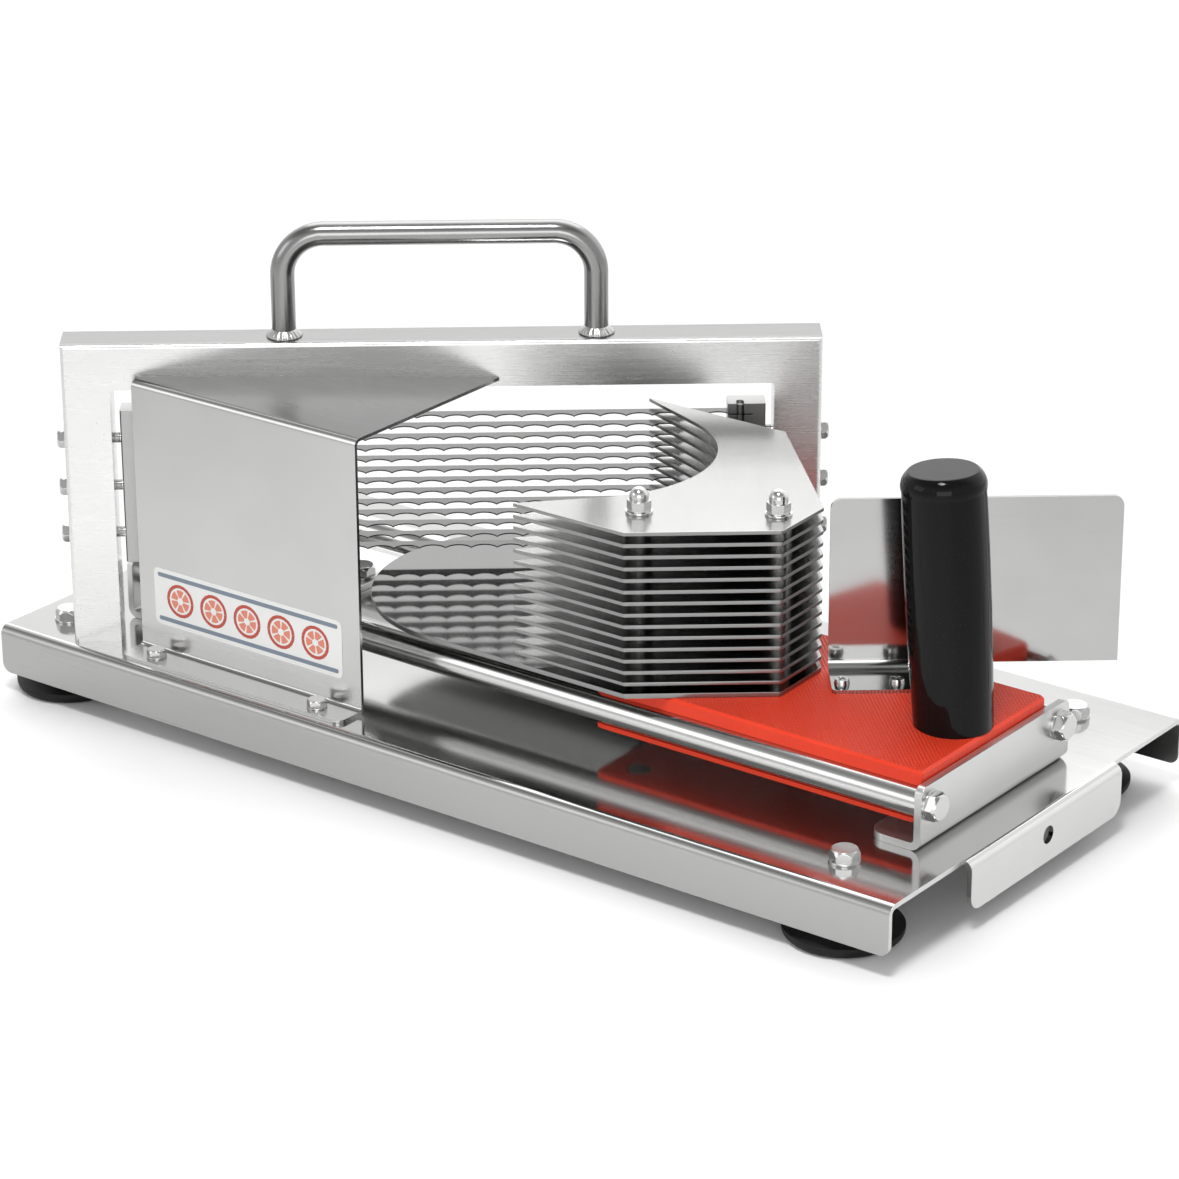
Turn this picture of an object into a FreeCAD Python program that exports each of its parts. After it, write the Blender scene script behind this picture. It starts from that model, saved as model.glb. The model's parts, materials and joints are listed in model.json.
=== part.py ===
import FreeCAD, Part
import math
import os

# Manual vegetable slicer.  A pusher carriage slides on two rods and presses the
# vegetable through a grid of tensioned blades held in a diagonal portal.
# Lengths are in millimetres.  While the pieces are drawn, X runs along the base
# from its free end to the grip end, Y runs from the front edge to the back edge,
# and Z = 0 is the top of the base plate.  At the end everything is moved so that
# the origin is the centre of the whole box, on the surface that the feet stand on.

Vector = FreeCAD.Vector
X_AXIS = Vector(1, 0, 0)
Y_AXIS = Vector(0, 1, 0)
Z_AXIS = Vector(0, 0, 1)

# ---- driving dimensions -------------------------------------------------------

# base plate, a sheet with both long sides folded down
BASE_LENGTH = 430.0
BASE_WIDTH = 205.0
BASE_SHEET = 2.0
BASE_DEPTH = 19.8
BASE_BEND = 4.0
LIP_WIDTH = 105.0
LIP_CENTRE_Y = 100.3
LIP_REACH = 4.0
LIP_DROP = 20.0
LIP_HOLE = 7.0
LIP_HOLE_DROP = 9.0

# diagonal portal of square tube
PORTAL_X = 36.0
PORTAL_Y = 5.5
PORTAL_ANGLE = 38.4
PORTAL_LENGTH = 298.8
PORTAL_HEIGHT = 125.4
TUBE = 18.8
TUBE_WALL = 1.5
TUBE_EDGE = 1.8

# carry handle on the portal
HANDLE_ROD = 9.5
HANDLE_START = 87.5
HANDLE_END = 210.2
HANDLE_TOP = 171.8
HANDLE_BEND = 16.5

# blades and their holders
BLADE_COUNT = 13
PITCH = 4.6
BLADE_SHEET = 0.5
BLADE_FRONT = 4.4
BLADE_WIDTH = 7.2
SCALLOP_PITCH = 10.35
SCALLOP_DEPTH = 3.2
SCALLOP_COUNT = 22
HOLDER_WIDTH = 15.0
HOLDER_DEPTH = 10.0
HOLDER_GAP = 3.1
HOLDER_LOW = 32.5
HOLDER_HIGH = 96.5
SLOT_LENGTH = 10.0
SLOT_HEIGHT = 0.6
PIN_DIAMETER = 3.0
SCREW_LEVELS = (43.7, 63.7, 83.7)

# cover over the front half of the blades
COVER_LEFT = 61.0
COVER_RIGHT = 175.0
COVER_FRONT = 18.6
COVER_TOP = 112.8
COVER_FALL = 1.47
COVER_SLANT = 4.6
COVER_SHEET = 1.5
COVER_FLANGE = 13.6
COVER_BOLTS = ((75.0, 11.5), (158.5, 11.5))

# guide rods and their brackets
ROD_DIAMETER = 12.0
ROD_HEIGHT = 17.0
ROD_FRONT_Y = 49.2
ROD_SPACING = 88.0
BRACKET_SHEET = 3.0
BRACKET_HEIGHT = 25.0
BRACKET_RIGHT_X = 414.7
BRACKET_RIGHT_Y = (43.2, 144.9)
BRACKET_LEFT_X = 35.0
BRACKET_LEFT_Y = (38.5, 147.9)
BRACKET_RIGHT_FOOT = 23.0
BRACKET_LEFT_FOOT = 60.0

# feet
FOOT_POINTS = ((17.5, 22.0), (396.5, 22.0), (17.5, 180.5), (396.5, 180.5))
FOOT_NAMES = ("foot_front_left", "foot_front_right", "foot_back_left", "foot_back_right")
FOOT_RADIUS = 22.5
FOOT_LEVEL = -28.5

# slide board with side grooves for the rods
BOARD_LEFT = 266.1
BOARD_RIGHT = 411.2
BOARD_LOW = 9.5
BOARD_SHEET = 19.2
BOARD_LIP_REACH = 3.0
BOARD_LIP_TOP = 11.3
BOARD_TOP_FRONT = 48.7
BOARD_TOP_BACK = 134.5
GROOVE_CLEARANCE = 0.08

# pusher: a tray plate with fourteen plates stacked above it
PLATE_COUNT = 14
TRAY_SHEET = 2.0
PLATE_SHEET = 1.5
PUSHER_FRONT_Y = 38.0
PUSHER_BACK_Y = 162.0
PUSHER_CENTRE_Y = 100.0
TRAY_ROUND_X = 193.5
HORN_FRONT_X = 235.0
HORN_BACK_X = 207.0
CHAMFER_FRONT = (286.3, 38.0)
SIDE_FRONT = (332.2, 74.4)
SIDE_BACK = (331.0, 103.0)
CHAMFER_BACK = (272.8, 162.0)
POCKET_CENTRE = (219.0, 99.5)
POCKET_RADIUS = 53.8
STUD_POINTS = ((278.6, 58.2), (321.6, 86.8))
STUD_DIAMETER = 5.0
SPACER_DIAMETER = 10.0

# push grip, leaning a little towards the pusher
GRIP_X = 396.5
GRIP_Y = 92.5
GRIP_HEIGHT = 98.0
GRIP_LEAN = 4.4

# hand guard, parallel to the portal, given along and behind the portal's face
GUARD_START = 294.2
GUARD_END = 403.6
GUARD_FOOT_END = 333.2
GUARD_BACK = -105.0
GUARD_SHEET = 1.5
GUARD_FOOT_REACH = 23.0
GUARD_TOP = 98.2
GUARD_SCREWS = ((298.3, -121.5), (319.0, -121.5))

# ---- values that follow from them ---------------------------------------------

BOARD_TOP = BOARD_LOW + BOARD_SHEET
TRAY_TOP = BOARD_TOP + TRAY_SHEET
STACK_TOP = TRAY_TOP + PLATE_COUNT * PITCH
FIRST_BLADE = TRAY_TOP + PITCH + (PITCH - PLATE_SHEET) / 2
ROD_BACK_Y = ROD_FRONT_Y + ROD_SPACING
ROD_LEFT = BRACKET_LEFT_X + BRACKET_SHEET
ROD_RIGHT = BRACKET_RIGHT_X - BRACKET_SHEET
TUBE_MIDDLE = TUBE / 2
HOLDER_LEFT = TUBE + HOLDER_GAP
HOLDER_RIGHT = PORTAL_LENGTH - TUBE - HOLDER_GAP - HOLDER_WIDTH
HOLDER_FRONT = TUBE_MIDDLE - HOLDER_DEPTH / 2
PIN_BEHIND = BLADE_FRONT + SCALLOP_DEPTH
PIN_LEFT = HOLDER_LEFT + 10.0
PIN_RIGHT = HOLDER_RIGHT + HOLDER_WIDTH - 10.0
BOX_LEFT = FOOT_POINTS[0][0] - FOOT_RADIUS
BOX_FRONT = FOOT_POINTS[0][1] - FOOT_RADIUS
LIP_FACE = BASE_LENGTH + LIP_REACH
ORIGIN = Vector((BOX_LEFT + LIP_FACE) / 2, (BOX_FRONT + BASE_WIDTH) / 2, FOOT_LEVEL)

# ---- small drawing helpers ----------------------------------------------------


def rounded_wire(corners):
    """Closed wire through (x, y, radius) corners, each rounded by its radius."""
    count = len(corners)
    edges = []
    arrivals = []
    for index in range(count):
        here = Vector(corners[index][0], corners[index][1], 0)
        radius = corners[index][2]
        before = Vector(corners[index - 1][0], corners[index - 1][1], 0)
        after = Vector(corners[(index + 1) % count][0], corners[(index + 1) % count][1], 0)
        if radius <= 0:
            arrivals.append((here, here))
            continue
        to_before = (before - here).normalize()
        to_after = (after - here).normalize()
        half_angle = math.acos(max(-1.0, min(1.0, to_before.dot(to_after)))) / 2
        run = radius / math.tan(half_angle)
        entry = here + to_before * run
        leave = here + to_after * run
        middle_way = (to_before + to_after).normalize()
        centre = here + middle_way * (radius / math.sin(half_angle))
        middle = centre - middle_way * radius
        edges.append((index, Part.Arc(entry, middle, leave).toShape()))
        arrivals.append((entry, leave))
    arcs = dict(edges)
    path = []
    for index in range(count):
        if index in arcs:
            path.append(arcs[index])
        start = arrivals[index][1]
        end = arrivals[(index + 1) % count][0]
        if (end - start).Length > 1e-6:
            path.append(Part.LineSegment(start, end).toShape())
    return Part.Wire(path)


def prism(corners, height, low=0.0):
    """Solid of the rounded outline in X and Y, from z = low upwards."""
    solid = Part.Face(rounded_wire(corners)).extrude(Vector(0, 0, height))
    solid.translate(Vector(0, 0, low))
    return solid


def section_along_x(corners, start, end):
    """Solid whose (y, z) section runs along X."""
    solid = prism(corners, end - start)
    solid.Placement = FreeCAD.Placement(Vector(start, 0, 0), FreeCAD.Rotation(Y_AXIS, Z_AXIS, X_AXIS))
    return solid


def section_along_y(corners, start, end):
    """Solid whose (x, z) section runs along Y."""
    solid = prism(corners, end - start)
    solid.Placement = FreeCAD.Placement(Vector(0, end, 0), FreeCAD.Rotation(X_AXIS, Z_AXIS, -Y_AXIS))
    return solid


def box(low, high):
    """Box between two corners."""
    size = [high[axis] - low[axis] for axis in range(3)]
    return Part.makeBox(size[0], size[1], size[2], Vector(*low))


def rod(diameter, start, end):
    """Cylinder between two points on its axis."""
    axis = Vector(*end) - Vector(*start)
    return Part.makeCylinder(diameter / 2, axis.Length, Vector(*start), axis)


def hexagon(across_flats, height, low=0.0):
    """Hexagonal prism on the Z axis."""
    radius = across_flats / math.sqrt(3)
    corners = []
    for index in range(6):
        angle = math.radians(60 * index + 30)
        corners.append((radius * math.cos(angle), radius * math.sin(angle), 0))
    return prism(corners, height, low)


def hex_head(across_flats, height, low):
    """Hexagon with its outer corners turned off, as on a bolt head."""
    cone = Part.makeCone(across_flats * 0.72, across_flats * 0.47, height * 1.02, Vector(0, 0, low))
    return hexagon(across_flats, height, low).common(cone)


def aim(shape, point, direction):
    """Turn a piece drawn along +Z towards a direction and put it at a point."""
    placed = shape.copy()
    placed.Placement = FreeCAD.Placement(Vector(*point), FreeCAD.Rotation(Z_AXIS, Vector(*direction)))
    return placed


def bolt_set(diameter, across_flats, head, washer, reach):
    """Hexagon bolt pointing down and its washer; the washer lies on z = 0."""
    washer_sheet = diameter * 0.16
    ring = Part.makeCylinder(washer / 2, washer_sheet)
    ring = ring.cut(Part.makeCylinder(diameter / 2, washer_sheet))
    shank = Part.makeCylinder(diameter / 2, reach + washer_sheet, Vector(0, 0, -reach))
    bolt = hex_head(across_flats, head, washer_sheet).fuse(shank).removeSplitter()
    return Part.makeCompound([bolt, ring])


def with_nut(diameter, across_flats, depth):
    """Plain nut below a sheet whose underside is at z = depth."""
    nut = hexagon(across_flats, diameter * 0.8, depth - diameter * 0.8)
    return nut.cut(Part.makeCylinder(diameter / 2, diameter, Vector(0, 0, depth - diameter)))


def fillet_where(shape, radius, chooser):
    """Round the edges that chooser(edge) picks."""
    picked = [edge for edge in shape.Edges if chooser(edge)]
    return shape.makeFillet(radius, picked)


def edge_at(edge, direction, tests):
    """True for a straight edge along direction whose middle meets the tests."""
    if edge.Curve.TypeId != "Part::GeomLine":
        return False
    if abs(abs(edge.Curve.Direction.dot(direction)) - 1) > 1e-6:
        return False
    middle = edge.CenterOfMass
    values = (middle.x, middle.y, middle.z)
    return all(any(abs(values[axis] - place) < 0.01 for place in places) for axis, places in tests)


def on_portal(shape):
    """Move a piece drawn along, behind and above the portal's foot into place."""
    placed = shape.copy()
    turn = FreeCAD.Rotation(Z_AXIS, PORTAL_ANGLE)
    placed.Placement = FreeCAD.Placement(Vector(PORTAL_X, PORTAL_Y, 0), turn).multiply(placed.Placement)
    return placed


def portal_point(along, behind):
    """Point (x, y) of a place along and behind the portal's front face."""
    angle = math.radians(PORTAL_ANGLE)
    x = PORTAL_X + along * math.cos(angle) - behind * math.sin(angle)
    y = PORTAL_Y + along * math.sin(angle) + behind * math.cos(angle)
    return x, y


# ---- base, feet ---------------------------------------------------------------

BRACKET_LEFT_BOLTS = ((88.0, 63.5), (88.0, 123.0))
BRACKET_RIGHT_BOLTS = ((402.0, 70.0), (402.0, 116.0))
LEG_POINTS = (portal_point(TUBE_MIDDLE, TUBE_MIDDLE),
              portal_point(PORTAL_LENGTH - TUBE_MIDDLE, TUBE_MIDDLE))


def base_plate():
    sheet, bend = BASE_SHEET, BASE_BEND
    corners = [(0, -BASE_DEPTH, 0), (0, 0, bend), (BASE_WIDTH, 0, bend), (BASE_WIDTH, -BASE_DEPTH, 0),
               (BASE_WIDTH - sheet, -BASE_DEPTH, 0), (BASE_WIDTH - sheet, -sheet, bend - sheet),
               (sheet, -sheet, bend - sheet), (sheet, -BASE_DEPTH, 0)]
    plate = section_along_x(corners, 0, BASE_LENGTH)
    plate = fillet_where(plate, 4.0, lambda edge: edge_at(
        edge, Y_AXIS, ((0, (0, BASE_LENGTH)), (2, (-BASE_DEPTH,)))))
    lip_low = LIP_CENTRE_Y - LIP_WIDTH / 2
    lip = section_along_y([(BASE_LENGTH - 1, 0, 0), (LIP_FACE, 0, bend), (LIP_FACE, -LIP_DROP, 0),
                           (LIP_FACE - sheet, -LIP_DROP, 0), (LIP_FACE - sheet, -sheet, bend - sheet),
                           (BASE_LENGTH - 1, -sheet, 0)], lip_low, lip_low + LIP_WIDTH)
    lip = fillet_where(lip, 6.0, lambda edge: edge_at(edge, X_AXIS, ((2, (-LIP_DROP,)),)))
    plate = plate.fuse(lip)
    holes = [rod(6.4, (x, y, -5), (x, y, 5)) for x, y in FOOT_POINTS + BRACKET_LEFT_BOLTS + LEG_POINTS]
    holes += [rod(5.3, (x, y, -5), (x, y, 5)) for x, y in BRACKET_RIGHT_BOLTS]
    holes += [rod(4.3, (x, y, -5), (x, y, 5)) for x, y in COVER_BOLTS]
    holes.append(rod(LIP_HOLE, (LIP_FACE - 5, LIP_CENTRE_Y, -LIP_HOLE_DROP),
                     (LIP_FACE + 5, LIP_CENTRE_Y, -LIP_HOLE_DROP)))
    return plate.cut(Part.makeCompound(holes)).removeSplitter()


def rubber_foot(point):
    """Suction foot: a neck under the base, a flared skirt and a hollow sole."""
    top = -BASE_SHEET
    rim = FOOT_RADIUS
    edges = [Part.LineSegment(Vector(3, 0, top), Vector(9, 0, top)),
             Part.LineSegment(Vector(9, 0, top), Vector(9.5, 0, -10)),
             Part.Arc(Vector(9.5, 0, -10), Vector(13.9, 0, -18.7), Vector(rim, 0, -24.2)),
             Part.LineSegment(Vector(rim, 0, -24.2), Vector(rim, 0, -25.2)),
             Part.Arc(Vector(rim, 0, -25.2), Vector(rim - 0.57, 0, -27.157), Vector(rim - 2.1, 0, FOOT_LEVEL)),
             Part.LineSegment(Vector(rim - 2.1, 0, FOOT_LEVEL), Vector(rim - 3.9, 0, FOOT_LEVEL)),
             Part.Arc(Vector(rim - 3.9, 0, FOOT_LEVEL), Vector(13.1, 0, -25.9), Vector(6, 0, -24.6)),
             Part.LineSegment(Vector(6, 0, -24.6), Vector(0, 0, -24.6)),
             Part.LineSegment(Vector(0, 0, -24.6), Vector(0, 0, -16)),
             Part.LineSegment(Vector(0, 0, -16), Vector(3, 0, -16)),
             Part.LineSegment(Vector(3, 0, -16), Vector(3, 0, top))]
    profile = Part.Face(Part.Wire([edge.toShape() for edge in edges]))
    foot = profile.revolve(Vector(0, 0, 0), Z_AXIS, 360)
    foot.translate(Vector(point[0], point[1], 0))
    return foot


def foot_bolts():
    reach = BASE_SHEET + 13.5
    bolt = bolt_set(6.0, 10.0, 4.2, 12.0, reach)
    return [aim(bolt, (x, y, 0), Z_AXIS) for x, y in FOOT_POINTS]


# ---- portal, handle, cover ----------------------------------------------------


def portal_frame():
    length, height, wall = PORTAL_LENGTH, PORTAL_HEIGHT, TUBE_WALL
    outside = box((0, 0, 0), (length, TUBE, height))
    outside = fillet_where(outside, TUBE_EDGE, lambda edge: edge_at(
        edge, Z_AXIS, ((0, (0, length)), (1, (0, TUBE)))) or edge_at(
        edge, X_AXIS, ((1, (0, TUBE)), (2, (height,)))))
    window = box((TUBE, -1, -1), (length - TUBE, TUBE + 1, height - TUBE))
    window = fillet_where(window, 1.5, lambda edge: edge_at(
        edge, Y_AXIS, ((0, (TUBE, length - TUBE)), (2, (height - TUBE,)))))
    hollow = box((wall, wall, -1), (length - wall, TUBE - wall, height - wall))
    keep = box((TUBE - wall, 0, -2), (length - TUBE + wall, TUBE, height - TUBE + wall))
    frame = outside.cut(window).cut(hollow.cut(keep))
    for level in SCREW_LEVELS:
        frame = frame.cut(rod(4.4, (-1, TUBE_MIDDLE, level), (TUBE + 1, TUBE_MIDDLE, level)))
        frame = frame.cut(rod(4.4, (length - TUBE - 1, TUBE_MIDDLE, level), (length + 1, TUBE_MIDDLE, level)))
    return on_portal(frame)


def leg_plugs():
    """Threaded blocks inside the feet of the portal's legs."""
    inner = TUBE - 2 * TUBE_WALL
    plugs = []
    for along in (TUBE_MIDDLE, PORTAL_LENGTH - TUBE_MIDDLE):
        plug = box((along - inner / 2, TUBE_WALL, 0), (along + inner / 2, TUBE - TUBE_WALL, 20))
        plug = plug.cut(rod(6.0, (along, TUBE_MIDDLE, -1), (along, TUBE_MIDDLE, 16)))
        plugs.append(on_portal(plug))
    return plugs


def portal_bolts():
    bolt = bolt_set(6.0, 10.0, 4.2, 13.0, BASE_SHEET + 14)
    return [aim(bolt, (x, y, -BASE_SHEET), -Z_AXIS) for x, y in LEG_POINTS]


def carry_handle():
    low, bend = PORTAL_HEIGHT, HANDLE_BEND
    top = HANDLE_TOP - HANDLE_ROD / 2
    turn = bend * (1 - math.cos(math.radians(45)))
    middle = TUBE_MIDDLE
    first, last = HANDLE_START, HANDLE_END
    path = [Part.LineSegment(Vector(first, middle, low), Vector(first, middle, top - bend)),
            Part.Arc(Vector(first, middle, top - bend), Vector(first + turn, middle, top - turn),
                     Vector(first + bend, middle, top)),
            Part.LineSegment(Vector(first + bend, middle, top), Vector(last - bend, middle, top)),
            Part.Arc(Vector(last - bend, middle, top), Vector(last - turn, middle, top - turn),
                     Vector(last, middle, top - bend)),
            Part.LineSegment(Vector(last, middle, top - bend), Vector(last, middle, low))]
    spine = Part.Wire([edge.toShape() for edge in path])
    ring = Part.Wire([Part.makeCircle(HANDLE_ROD / 2, Vector(first, middle, low))])
    handle = spine.makePipeShell([ring], True, False)
    for along in (first, last):
        weld = Part.makeCone(HANDLE_ROD / 2 + 2.0, HANDLE_ROD / 2 - 0.2, 2.4, Vector(along, middle, low))
        handle = handle.fuse(weld)
    return on_portal(handle.removeSplitter())


def blade_cover():
    """Folded sheet; its top falls a little towards the portal and is cut at a slant."""
    sheet, front = COVER_SHEET, COVER_FRONT
    far = BASE_WIDTH
    far_top = COVER_TOP - (far - front) * math.tan(math.radians(COVER_FALL))
    corners = [(front - COVER_FLANGE, 0, 0), (front + sheet, 0, 3.0), (front + sheet, COVER_TOP - sheet, 1.5),
               (far, far_top - sheet, 0), (far, far_top, 0), (front, COVER_TOP, 3.0),
               (front, sheet, 1.5), (front - COVER_FLANGE, sheet, 0)]
    cover = section_along_x(corners, COVER_LEFT, COVER_RIGHT)
    bend_end = front + 3.0
    portal_end = bend_end + 95.0
    beside = COVER_RIGHT + 10
    cover = cover.cut(prism([(COVER_RIGHT, bend_end, 0), (beside, bend_end, 0), (beside, portal_end, 0),
                             (COVER_RIGHT - COVER_SLANT, portal_end, 0)], 20, COVER_TOP - 15))
    cover = cover.cut(on_portal(box((-200, 0, -1), (600, 400, 200))))
    cover = fillet_where(cover, 4.0, lambda edge: edge_at(
        edge, Z_AXIS, ((0, (COVER_LEFT, COVER_RIGHT)), (1, (front - COVER_FLANGE,)))))
    holes = [rod(4.3, (x, y, -1), (x, y, 3)) for x, y in COVER_BOLTS]
    return cover.cut(Part.makeCompound(holes))


def cover_bolts():
    bolts = []
    bolt = bolt_set(4.0, 7.0, 2.8, 8.0, COVER_SHEET + BASE_SHEET + 4.6)
    for x, y in COVER_BOLTS:
        bolts.append(aim(bolt, (x, y, COVER_SHEET), Z_AXIS))
        bolts.append(aim(with_nut(4.0, 7.0, -BASE_SHEET), (x, y, 0), Z_AXIS))
    return bolts


# ---- blades and what holds them -----------------------------------------------


def blade_level(index):
    return FIRST_BLADE + index * PITCH


def blade(index):
    """Strip with a scalloped front edge, its ends in the holders' saw cuts."""
    low = blade_level(index) - BLADE_SHEET / 2
    start = HOLDER_LEFT + HOLDER_WIDTH - SLOT_LENGTH + 0.5
    end = HOLDER_RIGHT + SLOT_LENGTH - 0.5
    front, back = BLADE_FRONT, BLADE_FRONT + BLADE_WIDTH
    first_tip = (HOLDER_LEFT + HOLDER_WIDTH + HOLDER_RIGHT) / 2 - SCALLOP_COUNT * SCALLOP_PITCH / 2
    here = Vector(start, front, low)
    path = [Part.LineSegment(here, Vector(first_tip, front, low)).toShape()]
    for number in range(SCALLOP_COUNT):
        tip = first_tip + number * SCALLOP_PITCH
        path.append(Part.Arc(Vector(tip, front, low),
                             Vector(tip + SCALLOP_PITCH / 2, front + SCALLOP_DEPTH, low),
                             Vector(tip + SCALLOP_PITCH, front, low)).toShape())
    last_tip = first_tip + SCALLOP_COUNT * SCALLOP_PITCH
    rest = [Vector(last_tip, front, low), Vector(end, front, low), Vector(end, back, low),
            Vector(start, back, low), here]
    for number in range(len(rest) - 1):
        path.append(Part.LineSegment(rest[number], rest[number + 1]).toShape())
    strip = Part.Face(Part.Wire(path)).extrude(Vector(0, 0, BLADE_SHEET))
    for along in (PIN_LEFT, PIN_RIGHT):
        strip = strip.cut(rod(PIN_DIAMETER, (along, PIN_BEHIND, low - 1), (along, PIN_BEHIND, low + 2)))
    return on_portal(strip)


def blade_holder(start, slots_from, pin_along, screw_from):
    """Bar with a saw cut for each blade, an open groove for the pin and tapped holes."""
    back = HOLDER_FRONT + HOLDER_DEPTH
    bar = box((start, HOLDER_FRONT, HOLDER_LOW), (start + HOLDER_WIDTH, back, HOLDER_HIGH))
    bar = bar.makeChamfer(0.5, [edge for edge in bar.Edges if edge_at(edge, Z_AXIS, ())])
    cuts = []
    for index in range(BLADE_COUNT):
        low = blade_level(index) - SLOT_HEIGHT / 2
        cuts.append(box((slots_from, HOLDER_FRONT - 1, low),
                        (slots_from + SLOT_LENGTH, back + 1, low + SLOT_HEIGHT)))
    half = PIN_DIAMETER / 2
    below, above = HOLDER_LOW - 1, HOLDER_HIGH + 1
    cuts.append(rod(PIN_DIAMETER, (pin_along, PIN_BEHIND, below), (pin_along, PIN_BEHIND, above)))
    cuts.append(box((pin_along - half, HOLDER_FRONT - 1, below), (pin_along + half, PIN_BEHIND, above)))
    for level in SCREW_LEVELS:
        cuts.append(rod(4.0, (screw_from, TUBE_MIDDLE, level), (screw_from + 4.6, TUBE_MIDDLE, level)))
    return on_portal(bar.cut(Part.makeCompound(cuts)))


def blade_pins():
    pins = []
    for along in (PIN_LEFT, PIN_RIGHT):
        pin = rod(PIN_DIAMETER, (along, PIN_BEHIND, HOLDER_LOW + 1), (along, PIN_BEHIND, HOLDER_HIGH - 1))
        pins.append(on_portal(pin))
    return pins


def tension_screws():
    """Three screws at each post that pull the blade holders outwards."""
    screws = []
    reach = HOLDER_LEFT + 4.4
    screw = bolt_set(4.0, 7.0, 2.8, 8.5, reach)
    for level in SCREW_LEVELS:
        screws.append(on_portal(aim(screw, (0, TUBE_MIDDLE, level), -X_AXIS)))
        screws.append(on_portal(aim(screw, (PORTAL_LENGTH, TUBE_MIDDLE, level), X_AXIS)))
    return screws


# ---- guide rods and brackets --------------------------------------------------


def rod_bracket(outer, inward, foot, ends):
    """Angle bracket; inward is +1 or -1 along X, towards the other bracket."""
    sheet = BRACKET_SHEET
    inner = outer + inward * sheet
    toe = outer + inward * foot
    section = [(outer, 0, 4.5), (outer, BRACKET_HEIGHT, 0), (inner, BRACKET_HEIGHT, 0), (inner, sheet, 1.5),
               (toe, sheet, 0), (toe, 0, 0)]
    bracket = section_along_y(section, ends[0], ends[1])
    bracket = fillet_where(bracket, 3.5, lambda edge: edge_at(
        edge, X_AXIS, ((1, ends), (2, (BRACKET_HEIGHT,)))))
    bracket = fillet_where(bracket, 7.0, lambda edge: edge_at(
        edge, Z_AXIS, ((0, (toe,)), (1, ends))))
    holes = []
    for y in (ROD_FRONT_Y, ROD_BACK_Y):
        holes.append(rod(6.4, (outer - 5, y, ROD_HEIGHT), (outer + 5, y, ROD_HEIGHT)))
    if inward > 0:
        holes += [rod(6.4, (x, y, -1), (x, y, 5)) for x, y in BRACKET_LEFT_BOLTS]
    else:
        holes += [rod(5.0, (x, y, -1), (x, y, 5)) for x, y in BRACKET_RIGHT_BOLTS]
    return bracket.cut(Part.makeCompound(holes))


def guide_rod(y):
    shaft = rod(ROD_DIAMETER, (ROD_LEFT, y, ROD_HEIGHT), (ROD_RIGHT, y, ROD_HEIGHT))
    shaft = shaft.cut(rod(6.0, (ROD_LEFT - 1, y, ROD_HEIGHT), (ROD_LEFT + 14, y, ROD_HEIGHT)))
    return shaft.cut(rod(6.0, (ROD_RIGHT - 14, y, ROD_HEIGHT), (ROD_RIGHT + 1, y, ROD_HEIGHT)))


def rod_bolts():
    bolts = []
    bolt = bolt_set(6.0, 10.0, 4.2, 12.0, BRACKET_SHEET + 12)
    for y in (ROD_FRONT_Y, ROD_BACK_Y):
        bolts.append(aim(bolt, (BRACKET_RIGHT_X, y, ROD_HEIGHT), X_AXIS))
        bolts.append(aim(bolt, (BRACKET_LEFT_X, y, ROD_HEIGHT), -X_AXIS))
    return bolts


def bracket_screws():
    screws = []
    grip = BRACKET_SHEET + BASE_SHEET
    bolt = bolt_set(6.0, 10.0, 4.2, 12.0, grip + 6)
    for x, y in BRACKET_LEFT_BOLTS:
        screws.append(aim(bolt, (x, y, BRACKET_SHEET), Z_AXIS))
        screws.append(aim(with_nut(6.0, 10.0, -BASE_SHEET), (x, y, 0), Z_AXIS))
    for x, y in BRACKET_RIGHT_BOLTS:
        head = Part.makeCylinder(4.6, 3.2, Vector(0, 0, 0))
        head = head.makeFillet(1.2, [edge for edge in head.Edges if abs(edge.CenterOfMass.z - 3.2) < 0.01])
        head = head.cut(hexagon(4.0, 2.0, 1.4))
        screw = head.fuse(Part.makeCylinder(2.5, grip, Vector(0, 0, -grip)))
        screws.append(aim(screw.removeSplitter(), (x, y, -BASE_SHEET), -Z_AXIS))
    return screws


# ---- carriage -----------------------------------------------------------------


def countersink(diameter, point):
    """Space of a countersunk head in the underside of the slide board."""
    return Part.makeCone(diameter, diameter / 2, diameter / 2, Vector(point[0], point[1], BOARD_LOW))


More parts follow.
